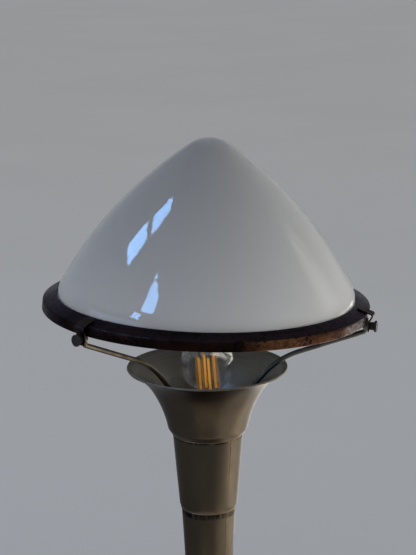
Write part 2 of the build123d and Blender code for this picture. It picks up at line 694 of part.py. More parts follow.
def bulb_cap():
    outer_r = CAP_THREAD_R - CAP_THREAD_DEPTH / 2
    inner_r = outer_r - CAP_WALL
    skirt_r = BULB_NECK_R + FIT
    foot_z = THREAD_Z - CAP_WALL
    edges = thread_edges(outer_r, CAP_SKIRT_Z) + thread_edges(inner_r, CAP_SKIRT_Z)
    edges.append(Line((inner_r, CAP_SKIRT_Z), (skirt_r, CAP_SKIRT_Z + CAP_WALL)))
    edges.append(Line((skirt_r, CAP_SKIRT_Z + CAP_WALL), (skirt_r, CAP_TOP_Z)))
    edges.append(Line((skirt_r, CAP_TOP_Z), (skirt_r + CAP_WALL, CAP_TOP_Z)))
    edges.append(Line((skirt_r + CAP_WALL, CAP_TOP_Z), (skirt_r + CAP_WALL, CAP_SKIRT_Z)))
    edges.append(Line((skirt_r + CAP_WALL, CAP_SKIRT_Z), (outer_r, CAP_SKIRT_Z)))
    edges.append(Line((outer_r, THREAD_Z), (outer_r, foot_z)))
    edges.append(Line((outer_r, foot_z), (outer_r - 2 * CAP_WALL, foot_z)))
    edges.append(Line((outer_r - 2 * CAP_WALL, foot_z), (inner_r, THREAD_Z)))
    return revolve(face_of(*edges), Axis.Z)


def bulb_insulator():
    top_r = CAP_THREAD_R - CAP_THREAD_DEPTH / 2 - 2 * CAP_WALL
    top_z = THREAD_Z - CAP_WALL
    low_z = TIP_Z + TIP_HEIGHT
    return turned([(0, low_z), (CAP_INSULATOR_TIP_R, low_z), (top_r, top_z), (0, top_z)])


def bulb_tip():
    dome_r = (TIP_R ** 2 + TIP_HEIGHT ** 2) / (2 * TIP_HEIGHT)
    top_z = TIP_Z + TIP_HEIGHT
    dome = Pos(0, 0, TIP_Z + dome_r) * Sphere(dome_r)
    return dome & cylinder(TIP_R, TIP_Z - OVERRUN, top_z)


def filament_ends():
    """Lower and upper end of each filament."""
    pivot = Vector(0, 0, BULB_Z - FILAMENT_DROP)
    ends = []
    for index in range(FILAMENTS):
        around = stem_point(FILAMENT_TURN + 360 * index / FILAMENTS, FILAMENT_CIRCLE_R, 0)
        pair = []
        for side in (-1, 1):
            offset_point = around + Vector(0, 0, side * FILAMENT_LENGTH / 2)
            pair.append(pivot + offset_point.rotate(Axis.Y, FILAMENT_LEAN))
        ends.append(pair)
    return ends


def filaments():
    return [strut(low, high, FILAMENT_R) for low, high in filament_ends()]


def stem_top_z():
    return BULB_Z - FILAMENT_DROP + FILAMENT_LENGTH / 2 + STAR_RISE


def pillar_z():
    """Top of the thick part of the glass stem, level with the filaments' lower ends."""
    return BULB_Z - FILAMENT_DROP - FILAMENT_LENGTH / 2


def bulb_stem():
    """Glass flare in the neck, with a pillar and a thin rod up the middle of the filaments."""
    flare_z = CAP_TOP_Z - BULB_NECK_TAIL
    flare_r = BULB_NECK_R - BULB_WALL - FIT
    return turned([
        (0, flare_z),
        (flare_r, flare_z),
        (flare_r, flare_z + STEM_FLARE_THICKNESS),
        (STEM_TUBE_R, flare_z + STEM_FLARE_THICKNESS + flare_r - STEM_TUBE_R),
        (STEM_TUBE_R, pillar_z() - STEM_TUBE_R),
        (STEM_TUBE_R / 3, pillar_z()),
        (STEM_TUBE_R / 3, stem_top_z()),
        (0, stem_top_z()),
    ])


def lead_from(hub, hub_r, end):
    """Wire that starts just outside a glass rod and runs to an end point."""
    along = (end - hub).normalized()
    return strut(hub + along * (hub_r + 2 * LEAD_R), end, LEAD_R)


def filament_leads():
    """Wires from the glass stem to the ends of each filament, clear of both."""
    top = Vector(0, 0, stem_top_z())
    low = Vector(0, 0, pillar_z() - STEM_TUBE_R)
    leads = []
    for low_end, high_end in filament_ends():
        rise = (high_end - low_end).normalized() * (2 * LEAD_R + FIT)
        leads.append(lead_from(top, STEM_TUBE_R / 3, high_end + rise))
        leads.append(lead_from(low, STEM_TUBE_R, low_end - rise))
    return leads


# Shade

def shade_ring():
    ledge_top = -RING_DEPTH + RING_SHEET
    top_drop = RING_SHEET * (1 + RING_RISE / (RING_TOP_R - RING_BORE_R)) / 2
    section = make_face(Plane.XZ * Polyline(
        [
            (RING_BORE_R, RING_RISE),
            (RING_TOP_R, 0),
            (RING_R, -RING_DEPTH),
            (RING_LEDGE_R, -RING_DEPTH),
            (RING_LEDGE_R, ledge_top),
            (RING_R - RING_SHEET, ledge_top),
            (RING_TOP_R - RING_SHEET, -top_drop),
            (RING_BORE_R, RING_RISE - RING_SHEET),
        ],
        close=True,
    ))
    corners = section.vertices().filter_by(lambda v: v.X > RING_TOP_R - RING_SHEET / 2)
    section = fillet(corners, RING_SHEET / 2)
    return leaning(revolve(section, Axis.Z))


def seat_ring():
    low = -RING_DEPTH + RING_SHEET
    return leaning(tube(GLASS_RIM_R, SEAT_INNER_R, low, low + SEAT_THICKNESS))


def glass_tip_lean():
    """Lean from the vertical at which the side's arc meets the tip's."""
    shoulder = radians(GLASS_SHOULDER_LEAN)
    reach = GLASS_RIM_R - GLASS_SHOULDER_ARC_R
    reach += (GLASS_SHOULDER_ARC_R - GLASS_SIDE_ARC_R) * cos(shoulder)
    return acos(reach / (GLASS_TIP_ARC_R - GLASS_SIDE_ARC_R))


def dome_arc(centre, arc_r, start, end):
    """Arc that leans inwards as it rises; angles are radians from the horizontal radius."""
    points = []
    for angle in (start, (start + end) / 2, end):
        points.append((centre[0] + arc_r * cos(angle), centre[1] + arc_r * sin(angle)))
    return ThreePointArc(*points)


def glass_edges(inset):
    shoulder = radians(GLASS_SHOULDER_LEAN)
    tip = glass_tip_lean()
    shoulder_z = GLASS_RIM_HEIGHT + glass_low()
    centre = (GLASS_RIM_R - GLASS_SHOULDER_ARC_R, shoulder_z)
    step = GLASS_SHOULDER_ARC_R - GLASS_SIDE_ARC_R
    side_centre = (centre[0] + step * cos(shoulder), centre[1] + step * sin(shoulder))
    tip_step = GLASS_SIDE_ARC_R - GLASS_TIP_ARC_R
    tip_centre = (0, side_centre[1] + tip_step * sin(tip))
    return [
        Line((GLASS_RIM_R - inset, glass_low()), (GLASS_RIM_R - inset, shoulder_z)),
        dome_arc(centre, GLASS_SHOULDER_ARC_R - inset, 0, shoulder),
        dome_arc(side_centre, GLASS_SIDE_ARC_R - inset, shoulder, tip),
        dome_arc(tip_centre, GLASS_TIP_ARC_R - inset, tip, pi / 2),
    ]


def glass_low():
    """The glass rim's underside, over the ring's upper outer edge."""
    return -RING_DEPTH + RING_SHEET + SEAT_THICKNESS


def shade_glass():
    outer = glass_edges(0)
    inner = glass_edges(GLASS_THICKNESS)
    foot = Line(inner[0] @ 0, outer[0] @ 0)
    crown = Line(inner[-1] @ 1, outer[-1] @ 1)
    section = face_of(*outer, *inner, foot, crown)
    corners = section.vertices().group_by(Axis.Z)[0]
    section = fillet(corners, GLASS_EDGE_R)
    return leaning(revolve(section, Axis.Z))


# Arms, clips and thumbscrews

def support_arm(azimuth):
    route = FilletPolyline(
        ring_point(azimuth, ARM_END_R, SCREW_DROP + ARM_EYE_R / 2),
        ring_point(azimuth, ARM_END_R, ARM_HEEL_DROP),
        ring_point(azimuth, ARM_KNEE_R, ARM_KNEE_DROP),
        stem_point(azimuth, arm_foot_r(), RING_Z - ARM_ELBOW_DROP),
        stem_point(azimuth, arm_foot_r(), HOLDER_Z - HUB_SOCKET_DEPTH + FIT),
        radius=[ARM_HEEL_BEND_R, ARM_KNEE_BEND_R, ARM_ELBOW_BEND_R],
    )
    rod = sweep(Plane(origin=route @ 0, z_dir=route % 0) * Circle(ARM_R), path=route)
    eye = radial_cylinder(ARM_EYE_R, EYE_INNER_R, EYE_OUTER_R, -SCREW_DROP)
    above = Pos(ARM_END_R, 0, -RING_DEPTH) * Box(
        4 * ARM_EYE_R,
        4 * ARM_EYE_R,
        2 * ARM_EYE_R,
        align=(Align.CENTER, Align.CENTER, Align.MIN),
    )
    hole = radial_cylinder(SCREW_R + THREAD_FIT, EYE_INNER_R - OVERRUN, EYE_OUTER_R + OVERRUN, -SCREW_DROP)
    arm = rod + leaning(at_azimuth(eye - above, azimuth))
    return arm - leaning(at_azimuth(hole, azimuth))


def ring_clip(azimuth):
    lift = FIT + CLIP_THICKNESS / 2
    shoulder_z = slope_z(CLIP_BULGE_R) + lift
    route = FilletPolyline(
        (CLIP_REACH_R, slope_z(CLIP_REACH_R) + lift),
        (CLIP_BULGE_R, shoulder_z),
        (CLIP_BULGE_R, -CLIP_SHOULDER_DROP),
        (CLIP_TAB_R, -CLIP_HEM_DROP),
        (CLIP_TAB_R, -CLIP_END_DROP),
        radius=CLIP_BEND_R,
    )
    strap = extrude(Plane.XZ * trace(route, CLIP_THICKNESS), CLIP_WIDTH / 2, both=True)
    straight = strap.edges().filter_by(GeomType.LINE)
    across = straight.filter_by(lambda e: abs(e.length - CLIP_THICKNESS) < FIT)
    tongue = across.filter_by(lambda e: e.center().X < CLIP_REACH_R + CLIP_THICKNESS)
    tab = across.filter_by(lambda e: e.center().Z < CLIP_THICKNESS - CLIP_END_DROP)
    strap = fillet(tongue + tab, CLIP_CORNER_R)
    strap -= radial_cylinder(SCREW_R + FIT, EYE_OUTER_R, CLIP_BULGE_R + OVERRUN, -SCREW_DROP)
    return leaning(at_azimuth(strap, azimuth))


def thumbscrew(azimuth):
    barrel_end = KNOB_SHOULDER_R + KNOB_BARREL_LENGTH
    flange_end = barrel_end + KNOB_FLANGE_LENGTH
    flutes = PolarLocations(KNOB_FLANGE_R, KNOB_FLUTES) * Circle(KNOB_FLUTE_R)
    flange = extrude(Circle(KNOB_FLANGE_R) - flutes, KNOB_FLANGE_LENGTH)
    screw = radial_cylinder(SCREW_R, KNOB_SHOULDER_R - SCREW_REACH, KNOB_SHOULDER_R, -SCREW_DROP)
    screw += radial_cylinder(KNOB_BARREL_R, KNOB_SHOULDER_R, barrel_end, -SCREW_DROP)
    screw += Pos(barrel_end, 0, -SCREW_DROP) * Rot(0, 90, 0) * flange
    return leaning(at_azimuth(screw, azimuth))


def save(name, *solids):
    export_step(Compound(children=list(solids)) if len(solids) > 1 else solids[0], f"parts/{name}.step")


os.makedirs("parts", exist_ok=True)

save("felt_pad", felt_pad())
save("base_plate", base_plate())
save("base_plate_screws", *base_plate_screws())
save("base_weight", base_weight())
save("base_shell", base_shell())
save("cord_bush", cord_bush())
save("rod_washer", rod_washer())
save("rod_nut", rod_nut())
save("foot_collar", foot_collar())
save("stem_rod", stem_rod())
save("lower_stem", lower_stem())
save("middle_stem", middle_stem())
save("upper_stem", upper_stem())
save("horn_bell", horn_bell())
save("arm_hub", arm_hub())
save("hub_nut", hub_nut())
save("hub_grub_screws", *hub_grub_screws())
save("lampholder_cap", lampholder_cap())
save("lampholder_shell", lampholder_shell())
save("lampholder_insulator", lampholder_insulator())
save("terminal_screws", *terminal_screws())
save("screw_contact", screw_contact())
save("centre_contact", centre_contact())
save("bulb_glass", bulb_glass())
save("bulb_cap", bulb_cap())
save("bulb_insulator", bulb_insulator())
save("bulb_tip", bulb_tip())
save("bulb_stem", bulb_stem())
save("filaments", *filaments())
save("filament_leads", *filament_leads())
save("shade_ring", shade_ring())
save("seat_ring", seat_ring())
save("shade_glass", shade_glass())
for number, azimuth in enumerate(ARM_AZIMUTHS, start=1):
    save(f"support_arm_{number}", support_arm(azimuth))
    save(f"ring_clip_{number}", ring_clip(azimuth))
    save(f"thumbscrew_{number}", thumbscrew(azimuth))
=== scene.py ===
from math import acos, ceil, cos, degrees, pi, radians, sin, tan

import bmesh
import bpy
from mathutils import Matrix, Vector, noise


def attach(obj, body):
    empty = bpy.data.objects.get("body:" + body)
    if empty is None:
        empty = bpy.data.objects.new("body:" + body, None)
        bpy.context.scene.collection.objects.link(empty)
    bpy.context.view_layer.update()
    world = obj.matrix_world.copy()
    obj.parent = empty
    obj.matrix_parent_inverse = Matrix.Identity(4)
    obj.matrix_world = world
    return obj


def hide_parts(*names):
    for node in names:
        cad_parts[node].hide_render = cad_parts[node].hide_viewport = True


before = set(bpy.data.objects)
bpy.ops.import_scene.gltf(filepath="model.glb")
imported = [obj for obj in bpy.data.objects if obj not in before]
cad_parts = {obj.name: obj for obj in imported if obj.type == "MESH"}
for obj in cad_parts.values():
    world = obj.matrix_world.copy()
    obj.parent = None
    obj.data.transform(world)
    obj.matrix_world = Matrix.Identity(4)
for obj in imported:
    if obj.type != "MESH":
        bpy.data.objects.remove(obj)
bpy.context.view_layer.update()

# Table lamp. Sizes are in millimetres, heights are above the table, and azimuths are counted
# from the front towards the right. MM turns them into metres.
MM = 0.001
RING_Z = 349.83
SHADE_LEAN = 2.0
ARM_AZIMUTHS = (-45, 75, 195)
SEAM_AZIMUTH = 42
FINENESS = 2.5  # degrees of arc between two points of an outline
SHARP_EDGE = 35  # degrees past which an edge isn't shaded smooth
JOINTS_Z = (108.2, 172.2, 236.2)
BEND_RISE = 3.4  # from a joint up to the bend above its lip
SHEET = 0.8
RIM_R = 65.0  # middle of the bell's rolled rim
RIM_Z = 291.9
BULB_R = 22.5
BULB_Z = 294.33  # centre of the bulb's globe

LEANING = Matrix.Translation((0, 0, RING_Z * MM)) @ Matrix.Rotation(radians(SHADE_LEAN), 4, "Y")


# Node trees

def feed(tree, socket, value):
    """Gives a socket a value or another node's output."""
    if isinstance(value, bpy.types.NodeSocket):
        tree.links.new(value, socket)
    else:
        socket.default_value = value


def put(tree, kind, sockets=None, **settings):
    """Adds a node with its settings, and feeds its sockets."""
    node = tree.nodes.new(kind)
    for name, value in settings.items():
        setattr(node, name, value)
    for name, value in (sockets or {}).items():
        feed(tree, node.inputs[name], value)
    return node


def maths(tree, operation, *values):
    return put(tree, "ShaderNodeMath", dict(enumerate(values)), operation=operation).outputs[0]


def mixed(tree, share, first, second):
    """Colour between two colours, which are the mix node's sockets 6 and 7."""
    return put(tree, "ShaderNodeMix", {0: share, 6: first, 7: second}, data_type="RGBA").outputs[2]


def remapped(tree, value, low, high, new_low=0.0, new_high=1.0):
    sockets = {"Value": value, "From Min": low, "From Max": high, "To Min": new_low, "To Max": new_high}
    return put(tree, "ShaderNodeMapRange", sockets).outputs["Result"]


def shader_group(name, inputs, outputs):
    tree = bpy.data.node_groups.new(name, "ShaderNodeTree")
    for label, kind, value in inputs:
        socket = tree.interface.new_socket(name=label, in_out="INPUT", socket_type="NodeSocket" + kind)
        socket.default_value = value
    for label, kind in outputs:
        tree.interface.new_socket(name=label, in_out="OUTPUT", socket_type="NodeSocket" + kind)
    return tree, tree.nodes.new("NodeGroupInput").outputs, tree.nodes.new("NodeGroupOutput").inputs


def use(tree, group, **sockets):
    return put(tree, "ShaderNodeGroup", sockets, node_tree=group).outputs


def point(tree):
    """Point that is shaded, in the piece's own coordinates, in metres."""
    return put(tree, "ShaderNodeTexCoord").outputs["Object"]


def place_of(tree):
    """Outputs X, Y and Z of the point that is shaded."""
    return put(tree, "ShaderNodeSeparateXYZ", {0: point(tree)}).outputs


def distance_from(tree, centre):
    sockets = {0: point(tree), 1: centre}
    return put(tree, "ShaderNodeVectorMath", sockets, operation="DISTANCE").outputs["Value"]


def stretched(tree, stretch):
    """Point that is shaded, with its height multiplied."""
    scale = put(tree, "ShaderNodeCombineXYZ", {"X": 1.0, "Y": 1.0, "Z": stretch}).outputs[0]
    return put(tree, "ShaderNodeVectorMath", {0: point(tree), 1: scale}, operation="MULTIPLY").outputs[0]


def grained(tree, place, size, detail, roughness):
    sockets = {"Vector": place, "Scale": size, "Detail": detail, "Roughness": roughness}
    return put(tree, "ShaderNodeTexNoise", sockets).outputs["Fac"]


def make_cloud():
    """Uneven mottling: a mask from 0 to 1."""
    tree, given, out = shader_group(
        "cloud",
        [("Size", "Float", 60.0), ("Stretch", "Float", 1.0), ("Low", "Float", 0.4), ("High", "Float", 0.65)],
        [("Mask", "Float")],
    )
    cloud = grained(tree, stretched(tree, given["Stretch"]), given["Size"], 6.0, 0.6)
    tree.links.new(remapped(tree, cloud, given["Low"], given["High"]), out["Mask"])
    return tree


def make_edge_wear():
    """Mask that is 1 along worn edges, broken up by a noise."""
    tree, given, out = shader_group(
        "edge_wear",
        [("Reach", "Float", 0.0006), ("Amount", "Float", 1.0)],
        [("Mask", "Float")],
    )
    rounded = put(tree, "ShaderNodeBevel", {"Radius": given["Reach"]}, samples=8).outputs[0]
    flat = put(tree, "ShaderNodeNewGeometry").outputs["Normal"]
    facing = put(tree, "ShaderNodeVectorMath", {0: rounded, 1: flat}, operation="DOT_PRODUCT")
    edge = remapped(tree, facing.outputs["Value"], 0.99, 0.88)
    broken = use(tree, CLOUD, Size=260.0, Low=0.35, High=0.6)["Mask"]
    worn = maths(tree, "MULTIPLY", maths(tree, "MULTIPLY", edge, broken), given["Amount"])
    tree.links.new(worn, out["Mask"])
    return tree


def make_pits():
    """Small pits in patches: a mask, and a height for a bump."""
    tree, given, out = shader_group(
        "pits",
        [("Size", "Float", 300.0), ("Share", "Float", 0.3)],
        [("Mask", "Float"), ("Height", "Float")],
    )
    grain = grained(tree, point(tree), given["Size"], 3.0, 0.65)
    edge = maths(tree, "SUBTRACT", 0.66, maths(tree, "MULTIPLY", given["Share"], 0.3))
    speck = remapped(tree, grain, edge, maths(tree, "ADD", edge, 0.05))
    where = use(tree, CLOUD, Size=80.0, Low=0.40, High=0.62)["Mask"]
    mask = maths(tree, "MULTIPLY", speck, where)
    tree.links.new(mask, out["Mask"])
    tree.links.new(maths(tree, "MULTIPLY", mask, -1.0), out["Height"])
    return tree


def make_brushing():
    """Fine lines: a mask whose lines run round the axis, or along it when the stretch is under 1."""
    tree, given, out = shader_group(
        "brushing",
        [("Size", "Float", 40.0), ("Stretch", "Float", 60.0)],
        [("Mask", "Float")],
    )
    lines = grained(tree, stretched(tree, given["Stretch"]), given["Size"], 4.0, 0.7)
    tree.links.new(lines, out["Mask"])
    return tree


CLOUD = make_cloud()
EDGE_WEAR = make_edge_wear()
PITS = make_pits()
BRUSHING = make_brushing()


# Materials

def new_material(name, colour, roughness, metallic=0.0, normal=None, **sockets):
    """Material with one Principled shader; colour and roughness may be other nodes' outputs."""
    tree = materials_tree(name)
    shader = tree.nodes["Principled BSDF"]
    given = {"Base Color": colour, "Roughness": roughness, "Metallic": metallic, **sockets}
    if normal is not None:
        given["Normal"] = normal
    for label, value in given.items():
        feed(tree, shader.inputs[label], value)
    return bpy.data.materials[name]


def materials_tree(name):
    if name not in bpy.data.materials:
        bpy.data.materials.new(name).use_nodes = True
    return bpy.data.materials[name].node_tree


def upward(tree):
    """Height of the normal: 1 on a face that looks up, 0 on a wall."""
    normal = put(tree, "ShaderNodeNewGeometry").outputs["Normal"]
    return put(tree, "ShaderNodeSeparateXYZ", {0: normal}).outputs["Z"]


def bumped(tree, height, distance, strength=0.5, below=None):
    sockets = {"Height": height, "Distance": distance, "Strength": strength}
    if below is not None:
        sockets["Normal"] = below
    return put(tree, "ShaderNodeBump", sockets).outputs[0]


METAL_TINT = (0.6, 0.6, 0.6, 1)  # tints a metal's reflections at a grazing angle
PAINTED_SHADE_FROM_Z = 345  # heights between which the opal glass is painted darker towards the tip, as painted shade
PAINTED_SHADE_FULL_Z = 475


def opal_glass():
    """Milk-white glass with painted shade that makes it greyer towards the tip, with slow waves and a fine
    ripple.
    """
    tree = materials_tree("opal_glass")
    # Painted shade: the glass's colour darkens from the lower height to the upper one, towards the tip.
    height = remapped(tree, place_of(tree)["Z"], PAINTED_SHADE_FROM_Z * MM, PAINTED_SHADE_FULL_Z * MM)
    body = mixed(tree, height, (0.62, 0.615, 0.605, 1), (0.29, 0.285, 0.28, 1))
    cloud = use(tree, CLOUD, Size=9.0, Stretch=0.6, Low=0.3, High=0.75)["Mask"]
    colour = mixed(tree, maths(tree, "MULTIPLY", cloud, 0.3), body, (0.45, 0.455, 0.465, 1))
    flow = use(tree, BRUSHING, Size=16.0, Stretch=0.25)["Mask"]
    waves = bumped(tree, flow, 0.0010, 0.22)
    ripple = use(tree, BRUSHING, Size=26.0, Stretch=5.0)["Mask"]
    roughness = remapped(tree, use(tree, CLOUD, Size=30.0)["Mask"], 0.0, 1.0, 0.015, 0.035)
    rippled = bumped(tree, ripple, 0.0004, 0.14, waves)
    looks = {
        "IOR": 1.41,
        "Subsurface Weight": 1.0,
        "Subsurface Radius": (1.0, 1.0, 1.0),
        "Subsurface Scale": 0.010,
    }
    return new_material("opal_glass", colour, roughness, 0.0, rippled, **looks)


# Places on the ring's wall: a painted copper sheen, and a patch rubbed to grey. A reach is the distance in
# metres where a place begins to show, and where it shows in full.
WALL_MIDDLE = (132, 5)  # radius, and drop under the ring's upper outer edge
COPPER_SHEEN_AZIMUTH = 36
COPPER_SHEEN_REACH = (0.058, 0.036)
COPPER_HIGHLIGHT_X = (0.086, 0.066)  # painted highlight: the copper sheen gets brighter from the first to the second
RUBBED_AZIMUTH = 63
RUBBED_REACH = (0.026, 0.020)


def dark_bronze():
    """Reddish brown patina, a painted bluish sheen on the top and a painted copper sheen on the wall, rubbed
    to grey.
    """
    tree = materials_tree("dark_bronze")
    wall = remapped(tree, upward(tree), 0.6, 0.3)
    cloud = use(tree, CLOUD, Size=55.0, Low=0.38, High=0.66)["Mask"]
    # Painted sheen: the top is lighter and bluish, like mirrored sky; the wall keeps the reddish patina.
    top = mixed(tree, cloud, (0.0115, 0.0085, 0.0095, 1), (0.022, 0.0135, 0.0130, 1))
    side = mixed(tree, cloud, (0.0080, 0.0048, 0.0046, 1), (0.020, 0.0090, 0.0058, 1))
    dark = mixed(tree, wall, top, side)

    # Painted reflection: a copper sheen on the wall, brighter towards one side.
    from_copper_sheen = distance_from(tree, ring_place(COPPER_SHEEN_AZIMUTH, *WALL_MIDDLE))
    copper_sheen = maths(tree, "MULTIPLY", wall, remapped(tree, from_copper_sheen, *COPPER_SHEEN_REACH))
    copper_highlight = remapped(tree, place_of(tree)["X"], *COPPER_HIGHLIGHT_X)
    copper_sheen_colour = mixed(tree, copper_highlight, (0.055, 0.025, 0.013, 1), (0.15, 0.068, 0.033, 1))
    grain = remapped(tree, use(tree, CLOUD, Size=230.0, Low=0.34, High=0.56)["Mask"], 0.0, 1.0, 0.45, 1.0)
    body = mixed(tree, maths(tree, "MULTIPLY", copper_sheen, grain), dark, copper_sheen_colour)
    pits = use(tree, PITS, Size=520.0, Share=0.55)
    pitted = mixed(tree, pits["Mask"], body, (0.004, 0.0025, 0.0022, 1))
    wear = use(tree, EDGE_WEAR, Reach=0.0009, Amount=0.55)["Mask"]
    worn = mixed(tree, wear, pitted, (0.20, 0.14, 0.11, 1))

    from_rubbed = distance_from(tree, ring_place(RUBBED_AZIMUTH, *WALL_MIDDLE))
    rubbed_wall = maths(tree, "MULTIPLY", wall, remapped(tree, from_rubbed, *RUBBED_REACH))
    specks = use(tree, CLOUD, Size=420.0, Low=0.40, High=0.48)["Mask"]
    rubbed = mixed(tree, maths(tree, "MULTIPLY", rubbed_wall, specks), worn, (0.085, 0.070, 0.058, 1))
    roughness = remapped(tree, cloud, 0.0, 1.0, 0.22, 0.36)
    uneven = bumped(tree, pits["Height"], 0.0004, 0.6)
    looks = {"Specular Tint": (0.55, 0.55, 0.60, 1)}
    return new_material("dark_bronze", rubbed, roughness, 1.0, uneven, **looks)


DIRT_AND_SHADE_DEPTHS = (6.0, 6.0, 2.2)  # how far the dirt and painted shadow reach down from each joint
LIT_LIP_RISES = (3.0, 3.0, 4.5)  # how far up from each joint the lip is painted lighter: rubbed metal with painted light
INSIDE_Z = JOINTS_Z[2] + 6.0  # faces that look up above this are the bell's inner face
DULL_RIM_DROPS = (1.4, 0.1)  # under the rim's middle: where it begins to get dull, and is dull in full


def joint_dirt_and_shade(tree):
    """Masks of the dirt and painted shadow, and of the scratches, just under the lip of the section above."""
    height = place_of(tree)["Z"]
    band = None
    for joint_z, depth in zip(JOINTS_Z, DIRT_AND_SHADE_DEPTHS):
        low = remapped(tree, height, (joint_z - depth) * MM, (joint_z - depth * 0.7) * MM)
        under = maths(tree, "LESS_THAN", height, joint_z * MM)
        strip = maths(tree, "MULTIPLY", low, under)
        band = strip if band is None else maths(tree, "ADD", band, strip)
    streaks = use(tree, BRUSHING, Size=330.0, Stretch=0.10)["Mask"]
    patches = use(tree, CLOUD, Size=38.0, Low=0.38, High=0.53)["Mask"]
    patchy = maths(tree, "MULTIPLY", band, patches)
    dirt_and_shade = maths(tree, "MULTIPLY", patchy, remapped(tree, streaks, 0.36, 0.50))
    scratch = maths(tree, "MULTIPLY", band, remapped(tree, streaks, 0.61, 0.66))
    return dirt_and_shade, scratch


def lit_joint_lips(tree):
    """Mask of the lips that close each section's foot and the bell's; they are painted lighter, as rubbed
    metal with painted light against the shade of their downward slope.
    """
    height = place_of(tree)["Z"]
    lips = None
    for joint_z, rise in zip(JOINTS_Z, LIT_LIP_RISES):
        above = maths(tree, "GREATER_THAN", height, (joint_z - 0.05) * MM)
        fading = remapped(tree, height, (joint_z + rise) * MM, joint_z * MM)
        lip = maths(tree, "MULTIPLY", above, fading)
        lips = lip if lips is None else maths(tree, "ADD", lips, lip)
    uneven = remapped(tree, use(tree, CLOUD, Size=60.0)["Mask"], 0.0, 1.0, 0.45, 1.0)
    return maths(tree, "MULTIPLY", lips, uneven)


def inside_of_bell(tree):
    """Mask of the bell's inner face, whose normals point up."""
    above = maths(tree, "GREATER_THAN", place_of(tree)["Z"], INSIDE_Z * MM)
    return maths(tree, "MULTIPLY", above, remapped(tree, upward(tree), 0.02, 0.10))


def horn_metal():
    """Sheet of the stem and bell: brown, painted lighter at the lips and inside the bell as painted light,
    with dirt and painted shadow under the lips.
    """
    tree = materials_tree("horn_metal")
    cloud = use(tree, CLOUD, Size=24.0, Stretch=0.5, Low=0.35, High=0.68)["Mask"]
    body = mixed(tree, cloud, (0.074, 0.060, 0.043, 1), (0.052, 0.040, 0.029, 1))
    specks = use(tree, PITS, Size=420.0, Share=0.10)
    speckled = mixed(tree, maths(tree, "MULTIPLY", specks["Mask"], 0.45), body, (0.030, 0.022, 0.016, 1))
    dirt_and_shade, scratch = joint_dirt_and_shade(tree)
    # Painted light on the lips, shown as rubbed metal.
    rubbed = mixed(tree, lit_joint_lips(tree), speckled, (0.17, 0.135, 0.100, 1))
    # Dirt and painted shadow: a dark band under each lip.
    dirty_and_shaded = mixed(tree, dirt_and_shade, rubbed, (0.010, 0.008, 0.007, 1))
    scratched = mixed(tree, maths(tree, "MULTIPLY", scratch, 0.7), dirty_and_shaded, (0.34, 0.27, 0.20, 1))
    wear = use(tree, EDGE_WEAR, Reach=0.0005, Amount=0.6)["Mask"]
    colour = mixed(tree, wear, scratched, (0.36, 0.29, 0.21, 1))
    # Painted light: the bell's inner face is much lighter than its outside.
    inside = inside_of_bell(tree)
    lines = use(tree, BRUSHING, Size=30.0, Stretch=45.0)["Mask"]
    painted_light_inside = mixed(tree, remapped(tree, lines, 0.3, 0.7), (0.30, 0.29, 0.255, 1), (0.23, 0.222, 0.195, 1))
    finish = mixed(tree, inside, colour, painted_light_inside)
    spread = maths(tree, "ADD", maths(tree, "MULTIPLY", lines, 0.4), maths(tree, "MULTIPLY", cloud, 0.6))
    clean = remapped(tree, spread, 0.1, 0.9, 0.26, 0.39)
    roughness = maths(tree, "ADD", clean, maths(tree, "MULTIPLY", dirt_and_shade, 0.3))
    dull_from, dull_full = ((RIM_Z - drop) * MM for drop in DULL_RIM_DROPS)
    rim = remapped(tree, place_of(tree)["Z"], dull_from, dull_full)
    dulled = maths(tree, "ADD", maths(tree, "MULTIPLY", inside, 0.14), maths(tree, "MULTIPLY", rim, 0.30))
    rougher = maths(tree, "ADD", roughness, dulled)
    looks = {"Specular Tint": METAL_TINT}
    return new_material("horn_metal", finish, rougher, 1.0, bumped(tree, lines, 0.00012, 0.2), **looks)


def plain_metal(name, light, dark, low_rough, high_rough, size=70.0, wear_colour=None):
    """Bar or sheet metal with stains, fine lines and rubbed edges."""
    tree = materials_tree(name)
    cloud = use(tree, CLOUD, Size=size, Low=0.35, High=0.68)["Mask"]
    colour = mixed(tree, cloud, light, dark)
    if wear_colour:
        wear = use(tree, EDGE_WEAR, Reach=0.0004, Amount=0.9)["Mask"]
        colour = mixed(tree, wear, colour, wear_colour)
    lines = use(tree, BRUSHING, Size=120.0, Stretch=0.2)["Mask"]
    roughness = remapped(tree, cloud, 0.0, 1.0, low_rough, high_rough)
    looks = {"Specular Tint": METAL_TINT}
    return new_material(name, colour, roughness, 1.0, bumped(tree, lines, 0.0002, 0.3), **looks)


def black_knob():
    """Black lacquer, rubbed down to brass at the edges."""
    tree = materials_tree("black_knob")
    wear = use(tree, EDGE_WEAR, Reach=0.0005, Amount=0.5)["Mask"]
    cloud = use(tree, CLOUD, Size=300.0)["Mask"]
    body = mixed(tree, cloud, (0.012, 0.011, 0.011, 1), (0.030, 0.027, 0.025, 1))
    colour = mixed(tree, wear, body, (0.22, 0.17, 0.12, 1))
    roughness = remapped(tree, cloud, 0.0, 1.0, 0.45, 0.60)
    return new_material("black_knob", colour, roughness, 0.0, bumped(tree, cloud, 0.0001, 0.3), IOR=1.25)


def clear_glass(name, tint):
    """Thin blown glass."""
    tree = materials_tree(name)
    cloud = use(tree, CLOUD, Size=40.0)["Mask"]
    roughness = remapped(tree, cloud, 0.0, 1.0, 0.0, 0.012)
    return new_material(name, tint, roughness, 0.0, **{"Transmission Weight": 1.0, "IOR": 1.32})


